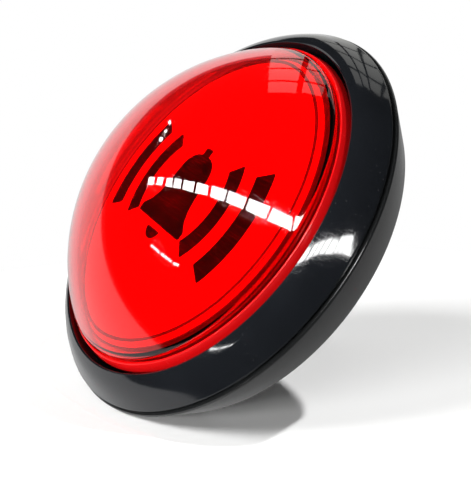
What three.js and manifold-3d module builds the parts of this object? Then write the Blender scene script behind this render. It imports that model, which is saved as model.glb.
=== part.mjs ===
// Illuminated dome push button for a quiz game, 100 mm class, panel mounted.
// Millimetres, +Z up. The origin is the centre of the panel hole, on the plane
// where the underside of the base rests on the panel.
import * as THREE from "three";
import { mergeVertices } from "three/addons/utils/BufferGeometryUtils.js";
import Module from "manifold-3d";

// ---------------------------------------------------------------- dimensions
const SEG_BIG = 44; // sides of the large rings
const SEG_MID = 24; // sides of barrel sized parts
const SEG_SMALL = 12; // sides of small round parts

const BASE_FOOT_R = 45.8; // base outer radius at the panel
const BASE_RIM_R = 50.0; // base outer radius at the ledge
const BASE_RIM_Z = 9.8;
const BASE_TOP_Z = 10.2;
const BASE_FLOOR = 3.0; // floor thickness
const BARREL_R = 12.0; // thread crest
const BARREL_ROOT_R = 11.2; // thread root
const BARREL_NECK_R = 12.1;
const BARREL_BORE_R = 10.0;
const BARREL_END_Z = -24.0;
const THREAD_PITCH = 2.0;

const BEZEL_OUT_R = 49.4;
const BEZEL_LIP_R = 43.1;
const BEZEL_LIP_Z = 16.3;
const SCREW_CIRCLE_R = 37.0;
const SCREW_HEAD_R = 2.8;
const SCREW_SHANK_R = 1.2;

const PLATE_Z0 = 13.6; // plunger plate underside
const PLATE_Z1 = 15.2; // plunger plate top
const PLUNGER_R = 42.1;
const PLUNGER_RIM_Z = 16.4;
const STEM_R = 9.55;
const STEM_BORE_R = 7.6;
const STEM_END_Z = -16.0;
const LEG_R0 = 6.4;
const LEG_R1 = 8.0;
const LEG_END_Z = -27.85;

const DOME_R = 40.5;
const DOME_EDGE_Z = 17.6;
const DOME_TOP_Z = 36.3;
const DOME_WALL = 2.2;
const DOME_FOOT_Z = 15.5;
const DISC_R = 37.2;

const HOLDER_R = 13.5;
const HOLDER_TOP_Z = -24.4;
const HOLDER_BOTTOM_Z = -27.0;

const SWITCH_X0 = -4.0;
const SWITCH_X1 = 10.0;
const SWITCH_Y0 = -3.0;
const SWITCH_Y1 = 2.1; // the cover sits on this side
const COVER_Y0 = 2.4;
const COVER_Y1 = 3.0;
const SWITCH_TOP_Z = -33.5;
const SWITCH_BOTTOM_Z = -39.5;
const LEVER_PIVOT_X = 5.0;
const LEVER_PIVOT_Z = -32.6;
const PRESS = 4.0; // travel of the dome
const LEVER_ARM = 12.2; // pivot to the middle of the leg
const LEVER_LIFT = Math.atan(PRESS / LEVER_ARM); // rest angle of the lever
const TAB_END_Z = -43.0;
const LAMP_TAB_Y = 9.0;

const NUT_TOP_Z = -6.4;
const NUT_BOTTOM_Z = -12.4;
const WASHER_TOP_Z = -5.0;
const WASHER_BOTTOM_Z = -6.1;
const NUT_BORE_R = 12.5;

// ------------------------------------------------------------------- helpers
const wasm = await Module();
wasm.setup();

// A three.js geometry as a closed solid, faces pointing out.
function solid(geometry) {
  const flat = geometry.index ? geometry.toNonIndexed() : geometry.clone();
  const bare = new THREE.BufferGeometry();
  bare.setAttribute("position", flat.getAttribute("position"));
  const merged = mergeVertices(bare, 1e-4);
  const src = merged.index.array;
  const tri = [];
  for (let i = 0; i < src.length; i += 3) {
    const [a, b, c] = [src[i], src[i + 1], src[i + 2]];
    if (a !== b && b !== c && c !== a) tri.push(a, b, c);
  }
  const make = (t) =>
    new wasm.Manifold(
      new wasm.Mesh({
        numProp: 3,
        vertProperties: merged.attributes.position.array,
        triVerts: new Uint32Array(t),
      }),
    );
  const made = make(tri);
  if (made.volume() >= 0) return made;
  for (let i = 0; i < tri.length; i += 3)
    [tri[i + 1], tri[i + 2]] = [tri[i + 2], tri[i + 1]];
  return make(tri);
}

// Revolved body. The profile is a list of [radius, z] and closes on itself,
// or starts and ends on the axis.
function turned(profile, segments = SEG_MID) {
  const pts = profile.map(([r, z]) => new THREE.Vector2(r, z));
  const first = pts[0];
  const last = pts[pts.length - 1];
  if (!(first.x === 0 && last.x === 0)) pts.push(first.clone());
  const g = new THREE.LatheGeometry(pts, segments);
  g.rotateX(Math.PI / 2);
  return solid(g);
}

function box(x0, x1, y0, y1, z0, z1) {
  const g = new THREE.BoxGeometry(x1 - x0, y1 - y0, z1 - z0);
  g.translate((x0 + x1) / 2, (y0 + y1) / 2, (z0 + z1) / 2);
  return solid(g);
}

// Upright round rod centred on x, y.
function rod(x, y, r, z0, z1, segments = SEG_SMALL) {
  const g = new THREE.CylinderGeometry(r, r, z1 - z0, segments);
  g.rotateX(Math.PI / 2);
  g.translate(x, y, (z0 + z1) / 2);
  return solid(g);
}

// Round rod lying along Y.
function rodY(x, z, r, y0, y1, segments = SEG_SMALL) {
  const g = new THREE.CylinderGeometry(r, r, y1 - y0, segments);
  g.translate(x, (y0 + y1) / 2, z);
  return solid(g);
}

// Round rod lying along X.
function rodX(y, z, r, x0, x1, segments = SEG_SMALL) {
  const g = new THREE.CylinderGeometry(r, r, x1 - x0, segments);
  g.rotateZ(Math.PI / 2);
  g.translate((x0 + x1) / 2, y, z);
  return solid(g);
}

// Piece of a ring between two radii and two angles in degrees.
function sector(r0, r1, a0, a1, z0, z1, steps = 6) {
  const s = new THREE.Shape();
  const at = (r, a) => [
    r * Math.cos((a * Math.PI) / 180),
    r * Math.sin((a * Math.PI) / 180),
  ];
  for (let i = 0; i <= steps; i++) {
    const p = at(r1, a0 + ((a1 - a0) * i) / steps);
    if (i === 0) s.moveTo(...p);
    else s.lineTo(...p);
  }
  for (let i = steps; i >= 0; i--)
    s.lineTo(...at(r0, a0 + ((a1 - a0) * i) / steps));
  s.closePath();
  const g = new THREE.ExtrudeGeometry(s, { depth: z1 - z0, bevelEnabled: false });
  g.translate(0, 0, z0);
  return solid(g);
}

// Points of an arc on a sphere centred on the axis, from radius ra to rb.
function capArc(R, zc, ra, rb, steps) {
  const ta = Math.asin(ra / R);
  const tb = rb === 0 ? 0 : Math.asin(rb / R);
  const out = [];
  for (let i = 0; i <= steps; i++) {
    const t = ta + ((tb - ta) * i) / steps;
    out.push([i === steps && rb === 0 ? 0 : R * Math.sin(t), zc + R * Math.cos(t)]);
  }
  return out;
}

function joined(first, ...rest) {
  return rest.reduce((a, b) => a.add(b), first);
}

function cut(first, ...rest) {
  return rest.reduce((a, b) => a.subtract(b), first);
}

function mesh(name, body, color, roughness, metalness = 0, more = {}) {
  const m = body.getMesh();
  const n = m.numProp;
  const v = new Float32Array(m.numVert * 3);
  for (let i = 0; i < m.numVert; i++)
    v.set(m.vertProperties.subarray(i * n, i * n + 3), i * 3);
  const g = new THREE.BufferGeometry();
  g.setAttribute("position", new THREE.BufferAttribute(v, 3));
  g.setIndex(new THREE.BufferAttribute(new Uint32Array(m.triVerts), 1));
  g.computeVertexNormals();
  const out = new THREE.Mesh(
    g,
    new THREE.MeshStandardMaterial({
      color,
      roughness,
      metalness,
      flatShading: true,
      ...more,
    }),
  );
  out.name = name;
  return out;
}

const BLACK = 0x0b0b0c;
const RED = 0xb80810;
const STEEL = 0xb9bcc0;
const BRASS = 0xc9b37a;

// ------------------------------------------------------------- fixed housing
// Dish and threaded barrel in one moulding.
function baseHousing() {
  const thread = [];
  for (let z = -2.0; z > BARREL_END_Z + 1.0; z -= THREAD_PITCH) {
    thread.push([BARREL_R, z - 0.1]);
    thread.push([BARREL_ROOT_R, z - 1.1]);
  }
  const dish = turned(
    [
      [BARREL_BORE_R + 1.0, BASE_FLOOR],
      [45.0, BASE_FLOOR],
      [47.8, BASE_TOP_Z],
      [49.8, BASE_TOP_Z],
      [BASE_RIM_R, BASE_RIM_Z],
      [BASE_FOOT_R, 0.0],
      [BARREL_BORE_R + 1.0, 0.0],
    ],
    SEG_BIG,
  );
  const barrel = turned(
    [
      [BARREL_BORE_R, BASE_FLOOR],
      [BARREL_NECK_R, BASE_FLOOR],
      [BARREL_NECK_R, -1.4],
      ...thread,
      [BARREL_ROOT_R, BARREL_END_Z],
      [BARREL_BORE_R, BARREL_END_Z],
    ],
    SEG_MID,
  );
  let body = joined(dish, barrel);
  // windows for the plunger hooks, and bayonet slots for the lamp holder
  for (const a of [90, 270]) {
    const t = (a * Math.PI) / 180;
    const w = new THREE.BoxGeometry(6.0, 4.8, 7.8);
    w.translate(11.5, 0, -12.1);
    w.rotateZ(t);
    body = cut(body, solid(w));
  }
  for (const a of [0, 180]) {
    body = cut(
      body,
      sector(9.0, 13.5, a - 11, a + 42, -22.8, -20.4, 8),
      sector(9.0, 13.5, a + 19, a + 42, -25.0, -20.4, 4),
    );
  }
  for (let k = 0; k < 4; k++) {
    const t = (k * Math.PI) / 2;
    const x = SCREW_CIRCLE_R * Math.cos(t);
    const y = SCREW_CIRCLE_R * Math.sin(t);
    body = cut(body, rod(x, y, 3.2, -1.0, 2.0), rod(x, y, 1.6, 1.0, 4.0));
  }
  return body;
}

// Glossy convex trim ring with the collar that guides the plunger.
function bezelRing() {
  const crown = [];
  for (let i = 0; i <= 5; i++) {
    const s = i / 5;
    const r = BEZEL_LIP_R + 0.25 + (BEZEL_OUT_R - BEZEL_LIP_R - 0.25) * s;
    const z = BEZEL_LIP_Z - 5.1 * s + 0.85 * Math.sin(Math.PI * s);
    crown.push([r, z]);
  }
  let body = turned(
    [
      [BEZEL_LIP_R, BEZEL_LIP_Z - 0.3],
      ...crown,
      [49.2, 10.5],
      [47.8, 10.5],
      [46.6, 12.6],
      [44.6, 14.2],
      [44.6, 3.3],
      [34.0, 3.3],
      [34.0, 5.3],
      [BEZEL_LIP_R, 5.3],
    ],
    SEG_BIG,
  );
  for (let k = 0; k < 4; k++) {
    const t = (k * Math.PI) / 2;
    const x = SCREW_CIRCLE_R * Math.cos(t);
    const y = SCREW_CIRCLE_R * Math.sin(t);
    body = joined(body, rod(x, y, 3.0, 4.6, 8.2));
    body = cut(body, rod(x, y, 1.55, 2.0, 7.6));
  }
  return body;
}

function bezelScrew() {
  const body = turned(
    [
      [0, 0.2],
      [SCREW_HEAD_R - 0.4, 0.2],
      [SCREW_HEAD_R, 0.7],
      [SCREW_HEAD_R, 1.7],
      [SCREW_SHANK_R, 1.7],
      [SCREW_SHANK_R, 6.6],
      [0.5, 7.3],
      [0, 7.3],
    ],
    SEG_SMALL,
  );
  return cut(
    body,
    box(-1.9, 1.9, -0.35, 0.35, 0.0, 1.1),
    box(-0.35, 0.35, -1.9, 1.9, 0.0, 1.1),
  );
}

// Compression spring around the barrel mouth.
function returnSpring() {
  const turns = 3.5;
  const steps = 64;
  const r = 12.5;
  const z0 = 3.9;
  const z1 = 12.7;
  const pts = [];
  for (let i = 0; i <= steps; i++) {
    const s = i / steps;
    const t = 2 * Math.PI * turns * s;
    pts.push(new THREE.Vector3(r * Math.cos(t), r * Math.sin(t), z0 + (z1 - z0) * s));
  }
  const path = new THREE.CatmullRomCurve3(pts);
  const wire = new THREE.Shape();
  for (let i = 0; i < 6; i++) {
    const a = (i / 6) * 2 * Math.PI;
    const p = [0.6 * Math.cos(a), 0.6 * Math.sin(a)];
    if (i === 0) wire.moveTo(...p);
    else wire.lineTo(...p);
  }
  wire.closePath();
  return solid(
    new THREE.ExtrudeGeometry(wire, {
      steps,
      bevelEnabled: false,
      extrudePath: path,
    }),
  );
}

// --------------------------------------------------------------- moving dome
function plungerFrame() {
  let body = turned(
    [
      [STEM_BORE_R, PLATE_Z1],
      [40.8, PLATE_Z1],
      [40.9, PLUNGER_RIM_Z],
      [PLUNGER_R, PLUNGER_RIM_Z],
      [PLUNGER_R, 10.8],
      [40.7, 10.8],
      [40.7, PLATE_Z0],
      [STEM_R, PLATE_Z0],
      [STEM_R, STEM_END_Z],
      [STEM_BORE_R, STEM_END_Z],
    ],
    SEG_BIG,
  );
  // slots for the dome clips
  for (const a of [45, 135, 225, 315])
    body = cut(body, sector(38.2, 40.65, a - 7, a + 7, 13.0, 16.0, 3));
  // retaining hooks and the leg that works the switch
  for (const a of [90, 270]) {
    const g = new THREE.BoxGeometry(2.2, 3.9, 3.0);
    g.translate(9.85, 0, -10.0);
    g.rotateZ((a * Math.PI) / 180);
    body = joined(body, solid(g));
  }
  return joined(
    body,
    box(-9.2, -LEG_R0, -1.6, 1.6, STEM_END_Z + 0.1, STEM_END_Z + 4.0),
    box(-LEG_R1 + 0.05, -LEG_R0, -1.6, 1.6, LEG_END_Z, STEM_END_Z + 2.0),
  );
}

function domeLens() {
  const h = DOME_TOP_Z - DOME_EDGE_Z;
  const R = (DOME_R * DOME_R + h * h) / (2 * h);
  const zc = DOME_TOP_Z - R;
  const inner = capArc(R - DOME_WALL, zc, 38.4, 0, 7);
  const outer = capArc(R, zc, DOME_R, 0, 8).reverse();
  let body = turned(
    [
      ...inner.slice().reverse(),
      [38.4, DOME_FOOT_Z],
      [DOME_R, DOME_FOOT_Z],
      ...outer.slice().reverse(),
    ],
    SEG_BIG,
  );
  for (const a of [45, 135, 225, 315])
    body = joined(body, sector(38.6, 40.2, a - 5, a + 5, 11.6, 15.7, 3));
  return body;
}

// ----------------------------------------------------------- lamp and switch
function lampHolder() {
  let body = turned(
    [
      [0, -19.6],
      [5.6, -19.6],
      [5.6, HOLDER_TOP_Z],
      [8.5, HOLDER_TOP_Z],
      [8.5, -20.6],
      [9.55, -20.6],
      [9.55, HOLDER_TOP_Z],
      [HOLDER_R - 0.6, HOLDER_TOP_Z],
      [HOLDER_R, HOLDER_TOP_Z - 0.6],
      [HOLDER_R, HOLDER_BOTTOM_Z + 0.6],
      [HOLDER_R - 0.6, HOLDER_BOTTOM_Z],
      [0, HOLDER_BOTTOM_Z],
    ],
    SEG_MID,
  );
  for (const a of [0, 180])
    body = joined(body, sector(9.0, 11.0, a - 8, a + 8, -22.5, -20.8, 4));
  // snap cheeks that grip the switch, with a catch under its floor
  for (const s of [-1, 1]) {
    const y = (v0, v1) => (s > 0 ? [v0, v1] : [-v1, -v0]);
    body = joined(
      body,
      box(-1.0, 7.0, ...y(3.35, 4.55), -41.0, HOLDER_BOTTOM_Z + 0.5),
      box(-1.0, 7.0, ...y(2.2, 3.5), -41.0, SWITCH_BOTTOM_Z - 0.35),
    );
    body = cut(
      body,
      box(-1.7, 1.7, ...y(LAMP_TAB_Y - 0.5, LAMP_TAB_Y + 0.5), -28.0, -25.0),
    );
  }
  return cut(body, sector(5.95, 8.45, 132, 198, -28.0, -24.0, 8));
}

function ledLens() {
  const pts = [
    [0, -17.0],
    [5.0, -17.0],
    [5.0, -16.2],
    [4.4, -16.0],
    [4.4, -11.4],
  ];
  for (let i = 1; i <= 4; i++) {
    const t = (i / 4) * (Math.PI / 2);
    pts.push([i === 4 ? 0 : 4.4 * Math.cos(t), -11.4 + 4.4 * Math.sin(t)]);
  }
  return turned(pts, 20);
}

function lampTerminal() {
  // blade along X with a hole near its free end and a thinner root in the holder
  return cut(
    joined(
      box(-1.4, 1.4, -0.3, 0.3, -35.0, HOLDER_BOTTOM_Z - 0.3),
      box(-1.4, 1.4, -0.2, 0.2, -28.0, -25.3),
    ),
    rodY(0, -33.6, 0.6, -2, 2, 10),
  );
}

function switchCase() {
  let body = box(SWITCH_X0, SWITCH_X1, SWITCH_Y0, SWITCH_Y1, SWITCH_BOTTOM_Z, SWITCH_TOP_Z);
  body = cut(body, box(-2.9, 8.9, -1.9, 3.0, -38.4, -34.6));
  // pivot ears for the lever
  for (const y of [
    [1.4, 2.1],
    [-2.1, -1.4],
  ])
    body = joined(body, box(3.6, 6.4, ...y, -33.9, -31.2));
  body = cut(body, rodY(LEVER_PIVOT_X, LEVER_PIVOT_Z, 0.85, -3.2, 3.2));
  // plunger hole, terminal slots
  body = cut(body, box(1.1, 3.1, -1.0, 1.0, -35.0, -33.0));
  for (const x of [-2.2, 3.2, 8.2])
    body = cut(body, box(x - 0.5, x + 0.5, -1.4, 1.4, -40.0, -38.0));
  return body;
}

function switchCover() {
  return joined(
    box(SWITCH_X0, SWITCH_X1, COVER_Y0, COVER_Y1, SWITCH_BOTTOM_Z, SWITCH_TOP_Z),
    box(4.2, 5.6, 1.3, 2.6, -35.5, -34.9),
  );
}

// Flat tab with a hole below the case, a thinner stem and a short arm inside.
function switchTerminal(x, top, arm0, arm1) {
  return cut(
    joined(
      box(x - 0.3, x + 0.3, -1.1, 1.1, TAB_END_Z, SWITCH_BOTTOM_Z - 0.3),
      box(x - 0.2, x + 0.2, -1.1, 1.1, SWITCH_BOTTOM_Z - 0.8, top),
      box(arm0, arm1, -1.1, 1.1, top - 0.35, top),
    ),
    rodX(0, -42.0, 0.45, x - 2, x + 2, 10),
  );
}

function switchLever() {
  // arm in its own frame: pivot at the origin, arm along -X
  return joined(
    box(-13.6, 0.4, -1.05, 1.05, -0.2, 0.2),
    rodY(0, 0, 0.55, -2.3, 2.3, 12),
    rodY(-13.4, -0.15, 0.4, -1.05, 1.05, 10),
  );
}

function switchBlade() {
  // leaf in its own frame: pivot end at the origin, leaf along +X
  return joined(
    box(-0.6, 9.2, -0.95, 0.95, -0.12, 0.12),
    rod(8.6, 0, 0.5, -0.35, 0.35, 10),
  );
}

// ------------------------------------------------------------ panel fixings
function mountingNut() {
  const s = new THREE.Shape();
  for (let i = 0; i < 6; i++) {
    const a = (i / 6) * 2 * Math.PI;
    const p = [18.0 * Math.cos(a), 18.0 * Math.sin(a)];
    if (i === 0) s.moveTo(...p);
    else s.lineTo(...p);
  }
  s.closePath();
  const g = new THREE.ExtrudeGeometry(s, {
    depth: NUT_TOP_Z - NUT_BOTTOM_Z,
    bevelEnabled: false,
  });
  g.translate(0, 0, NUT_BOTTOM_Z);
  const chamfer = turned(
    [
      [0, NUT_TOP_Z],
      [16.6, NUT_TOP_Z],
      [18.2, NUT_TOP_Z - 1.0],
      [18.2, NUT_BOTTOM_Z + 1.0],
      [16.6, NUT_BOTTOM_Z],
      [0, NUT_BOTTOM_Z],
    ],
    SEG_MID,
  );
  return cut(
    solid(g).intersect(chamfer),
    rod(0, 0, NUT_BORE_R, NUT_BOTTOM_Z - 1, NUT_TOP_Z + 1, SEG_MID),
  );
}

function nutWasher() {
  return turned(
    [
      [NUT_BORE_R, WASHER_BOTTOM_Z],
      [19.2, WASHER_BOTTOM_Z],
      [19.2, WASHER_TOP_Z],
      [NUT_BORE_R, WASHER_TOP_Z],
    ],
    SEG_MID,
  );
}

// ------------------------------------------------------------------ assembly
const buzzer = new THREE.Group();

const housing = new THREE.Group();
housing.add(mesh("base_housing", baseHousing(), BLACK, 0.25));
housing.add(mesh("bezel_ring", bezelRing(), BLACK, 0.12));
for (let k = 0; k < 4; k++) {
  const t = (k * Math.PI) / 2;
  const screw = mesh("bezel_screw_" + (k + 1), bezelScrew(), STEEL, 0.35, 1);
  screw.position.set(SCREW_CIRCLE_R * Math.cos(t), SCREW_CIRCLE_R * Math.sin(t), 0);
  housing.add(screw);
}
housing.add(mesh("return_spring", returnSpring(), STEEL, 0.3, 1));
buzzer.add(housing);

const button = new THREE.Group();
button.add(mesh("plunger_frame", plungerFrame(), RED, 0.35));
button.add(
  mesh(
    "diffuser_disc",
    turned(
      [
        [0, 15.5],
        [DISC_R, 15.5],
        [DISC_R, 16.6],
        [DISC_R - 0.4, 17.0],
        [0, 17.0],
      ],
      SEG_BIG,
    ),
    0xe01018,
    0.5,
  ),
);
button.add(
  mesh(
    "label_film",
    turned(
      [
        [0, 17.3],
        [36.4, 17.3],
        [36.4, 17.6],
        [0, 17.6],
      ],
      SEG_BIG,
    ),
    0xd81018,
    0.3,
  ),
);
button.add(
  mesh("dome_lens", domeLens(), 0xe0101c, 0.06, 0, { transparent: true, opacity: 0.55 }),
);
buzzer.add(button);

const holder = new THREE.Group();
holder.add(mesh("lamp_holder", lampHolder(), 0x151516, 0.45));
holder.add(
  mesh(
    "led_base",
    turned(
      [
        [0, -19.3],
        [4.8, -19.3],
        [5.2, -18.9],
        [5.2, -17.3],
        [0, -17.3],
      ],
      20,
    ),
    0xe6e4dc,
    0.4,
  ),
);
holder.add(mesh("led_lens", ledLens(), 0xf2f2ee, 0.1));
for (const [name, y] of [
  ["lamp_terminal_left", -LAMP_TAB_Y],
  ["lamp_terminal_right", LAMP_TAB_Y],
]) {
  const tab = mesh(name, lampTerminal(), BRASS, 0.3, 1);
  tab.position.set(0, y, 0);
  holder.add(tab);
}
holder.add(mesh("switch_case", switchCase(), 0x1a1a1c, 0.5));
holder.add(mesh("switch_cover", switchCover(), 0x202023, 0.5));
holder.add(mesh("terminal_common", switchTerminal(-2.2, -36.55, -2.2, -1.2), BRASS, 0.3, 1));
holder.add(mesh("terminal_normally_open", switchTerminal(3.2, -37.75, 3.2, 7.3), BRASS, 0.3, 1));
holder.add(mesh("terminal_normally_closed", switchTerminal(8.2, -34.95, 6.2, 8.2), BRASS, 0.3, 1));

const lever = mesh("switch_lever", switchLever(), STEEL, 0.3, 1);
lever.position.set(LEVER_PIVOT_X, 0, LEVER_PIVOT_Z);
lever.rotation.y = LEVER_LIFT;
holder.add(lever);
holder.add(
  mesh(
    "switch_button",
    box(1.4, 2.8, -0.7, 0.7, -35.7, -32.6),
    0xb01818,
    0.4,
  ),
);
const blade = mesh("switch_blade", switchBlade(), BRASS, 0.3, 1);
blade.position.set(-1.9, 0, -36.12);
holder.add(blade);
buzzer.add(holder);

const fixings = new THREE.Group();
fixings.add(mesh("nut_washer", nutWasher(), STEEL, 0.35, 1));
fixings.add(mesh("mounting_nut", mountingNut(), BLACK, 0.4));
buzzer.add(fixings);

export default buzzer;
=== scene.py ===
import math

import bmesh
import bpy
import numpy as np
from mathutils import Matrix, Vector


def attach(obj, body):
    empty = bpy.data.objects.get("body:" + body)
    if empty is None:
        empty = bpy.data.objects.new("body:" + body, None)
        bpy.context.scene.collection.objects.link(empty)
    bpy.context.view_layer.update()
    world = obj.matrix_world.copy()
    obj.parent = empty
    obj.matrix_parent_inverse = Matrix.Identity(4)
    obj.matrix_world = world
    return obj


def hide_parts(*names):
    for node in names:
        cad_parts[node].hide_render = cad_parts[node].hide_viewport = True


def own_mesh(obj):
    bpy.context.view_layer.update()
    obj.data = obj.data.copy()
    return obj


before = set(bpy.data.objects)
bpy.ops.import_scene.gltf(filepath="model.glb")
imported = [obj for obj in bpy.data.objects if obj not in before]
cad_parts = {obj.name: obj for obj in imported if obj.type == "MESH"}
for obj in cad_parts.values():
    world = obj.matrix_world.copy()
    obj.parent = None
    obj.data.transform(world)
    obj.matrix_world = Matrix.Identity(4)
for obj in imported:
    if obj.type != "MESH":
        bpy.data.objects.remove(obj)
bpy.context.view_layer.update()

MM = 0.001

# ---------------------------------------------------------------- camera basis
CAM_U = np.array([-0.58913623, 0.80803373, 0.0])
CAM_V = np.array([0.4779511, 0.34847346, -0.80630577])
CAM_A = np.array([-0.65152226, -0.47502394, -0.59149894])
CAM_T = np.array([0.371, -2.659, 170.422]) * MM
FOCAL_PX, IMG_W, IMG_H = 700.0, 471.0, 480.0
# columns are the object's axes seen from the camera (x right, y down, z forward)
OBJ_TO_CAM = np.stack([CAM_U, CAM_V, CAM_A], 1)
CAM_AT = -OBJ_TO_CAM.T @ CAM_T


def to_obj(d):
    return OBJ_TO_CAM.T @ np.asarray(d, float)


def look(px, py):
    d = np.array([(px - IMG_W / 2) / FOCAL_PX, (py - IMG_H / 2) / FOCAL_PX, 1.0])
    return to_obj(d / np.linalg.norm(d))


def make_camera():
    data = bpy.data.cameras.new("camera")
    cam = bpy.data.objects.new("camera", data)
    bpy.context.scene.collection.objects.link(cam)
    r = OBJ_TO_CAM.copy()
    r[1:] *= -1
    t = CAM_T * np.array([1, -1, -1])
    m = Matrix([[*r[0], t[0]], [*r[1], t[1]], [*r[2], t[2]], [0, 0, 0, 1]])
    cam.matrix_world = m.inverted()
    data.sensor_width = 36.0
    data.lens = FOCAL_PX * 36.0 / IMG_H
    data.clip_start, data.clip_end = 0.005, 50.0
    bpy.context.scene.camera = cam


# ---------------------------------------------------------------- mesh helpers
def link(me, name):
    o = bpy.data.objects.new(name, me)
    bpy.context.scene.collection.objects.link(o)
    return o


def shade(me, angle=32.0):
    bm = bmesh.new()
    bm.from_mesh(me)
    for f in bm.faces:
        f.smooth = True
    lim = math.radians(angle)
    for e in bm.edges:
        e.smooth = not (len(e.link_faces) == 2 and e.calc_face_angle(0.0) > lim)
    bm.to_mesh(me)
    bm.free()


def mesh_of(name, verts, faces, angle=32.0):
    me = bpy.data.meshes.new(name)
    me.from_pydata([tuple(v) for v in verts], [], faces)
    bm = bmesh.new()
    bm.from_mesh(me)
    if bm.calc_volume(signed=True) < 0:
        bmesh.ops.reverse_faces(bm, faces=bm.faces)
    bm.to_mesh(me)
    bm.free()
    me.validate()
    shade(me, angle)
    return link(me, name)


def rounded(points, n=4):
    """(r, z[, fillet]) corners of a closed profile, with each fillet as an arc."""
    out, m = [], len(points)
    for i, p in enumerate(points):
        f = p[2] if len(p) > 2 else 0.0
        b = np.array(p[:2], float)
        if f <= 0:
            out.append(tuple(b))
            continue
        a, c = np.array(points[i - 1][:2], float), np.array(points[(i + 1) % m][:2], float)
        da, dc = a - b, c - b
        la, lc = np.linalg.norm(da), np.linalg.norm(dc)
        da, dc = da / la, dc / lc
        ang = math.acos(max(-1.0, min(1.0, float(da @ dc))))
        if ang > math.pi - 1e-3:
            out.append(tuple(b))
            continue
        t = min(f / math.tan(ang / 2), 0.47 * la, 0.47 * lc)
        r = t * math.tan(ang / 2)
        p0, p1 = b + da * t, b + dc * t
        bis = (da + dc) / np.linalg.norm(da + dc)
        ctr = b + bis * (r / math.sin(ang / 2))
        a0 = math.atan2(*(p0 - ctr)[::-1])
        a1 = math.atan2(*(p1 - ctr)[::-1])
        d = (a1 - a0 + math.pi) % (2 * math.pi) - math.pi
        for k in range(n + 1):
            th = a0 + d * k / n
            out.append((ctr[0] + r * math.cos(th), ctr[1] + r * math.sin(th)))
    return out


def lathe(name, profile, seg=256, centre=(0, 0), angle=32.0):
    """A closed (r, z) profile in millimetres, turned about Z through centre."""
    verts, rows = [], []
    for r, z in profile:
        if r < 1e-6:
            rows.append([len(verts)] * seg)
            verts.append((centre[0] * MM, centre[1] * MM, z * MM))
        else:
            rows.append(list(range(len(verts), len(verts) + seg)))
            for k in range(seg):
                t = 2 * math.pi * k / seg
                verts.append(((centre[0] + r * math.cos(t)) * MM, (centre[1] + r * math.sin(t)) * MM, z * MM))
    faces = []
    for i in range(len(rows)):
        a, b = rows[i], rows[(i + 1) % len(rows)]
        if a[0] == a[1] and b[0] == b[1]:
            continue
        for k in range(seg):
            j = (k + 1) % seg
            q = [a[k], a[j], b[j], b[k]]
            q = [v for n_, v in enumerate(q) if v not in q[:n_]]
            if len(q) > 2:
                faces.append(q)
    return mesh_of(name, verts, faces, angle)


def prism(name, outline, z0, z1, angle=32.0):
    """A closed (x, y) outline in millimetres, drawn up from z0 to z1."""
    n = len(outline)
    verts = [(x * MM, y * MM, z0 * MM) for x, y in outline] + [(x * MM, y * MM, z1 * MM) for x, y in outline]
    faces = [list(range(n))[::-1], list(range(n, 2 * n))]
    faces += [[i, (i + 1) % n, n + (i + 1) % n, n + i] for i in range(n)]
    return mesh_of(name, verts, faces, angle)


def block(name, x0, x1, y0, y1, z0, z1, bevel=0.12, segments=3):
    v = [(x * MM, y * MM, z * MM) for z in (z0, z1) for x, y in ((x0, y0), (x1, y0), (x1, y1), (x0, y1))]
    f = [[3, 2, 1, 0], [4, 5, 6, 7], [0, 1, 5, 4], [1, 2, 6, 5], [2, 3, 7, 6], [3, 0, 4, 7]]
    o = mesh_of(name, v, f)
    if bevel:
        bm = bmesh.new()
        bm.from_mesh(o.data)
        bmesh.ops.bevel(bm, geom=list(bm.edges), offset=bevel * MM, segments=segments, profile=0.5, affect="EDGES")
        bm.to_mesh(o.data)
        bm.free()
        shade(o.data, 50)
    return o


def sector(name, r0, r1, a0, a1, z0, z1, steps=24):
    arc = np.radians(np.linspace(a0, a1, steps))
    pts = [(r1 * math.cos(t), r1 * math.sin(t)) for t in arc] + [(r0 * math.cos(t), r0 * math.sin(t)) for t in arc[::-1]]
    return prism(name, pts, z0, z1)


def boolean(obj, tools, op="DIFFERENCE", angle=32.0):
    for t in tools:
        m = obj.modifiers.new("cut", "BOOLEAN")
        m.operation, m.solver, m.object = op, "EXACT", t
    bpy.context.view_layer.update()
    dg = bpy.context.evaluated_depsgraph_get()
    me = bpy.data.meshes.new_from_object(obj.evaluated_get(dg))
    obj.modifiers.clear()
    old = obj.data
    obj.data = me
    bpy.data.meshes.remove(old)
    for t in tools:
        d = t.data
        bpy.data.objects.remove(t)
        bpy.data.meshes.remove(d)
    bm = bmesh.new()
    bm.from_mesh(me)
    bmesh.ops.remove_doubles(bm, verts=bm.verts, dist=1e-7)
    bm.to_mesh(me)
    bm.free()
    shade(me, angle)
    return obj


def merge(name, parts):
    bpy.context.view_layer.update()
    bm = bmesh.new()
    for p in parts:
        bm.from_mesh(p.data)
    me = bpy.data.meshes.new(name)
    bm.to_mesh(me)
    bm.free()
    for p in parts:
        d = p.data
        bpy.data.objects.remove(p)
        bpy.data.meshes.remove(d)
    return link(me, name)


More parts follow.
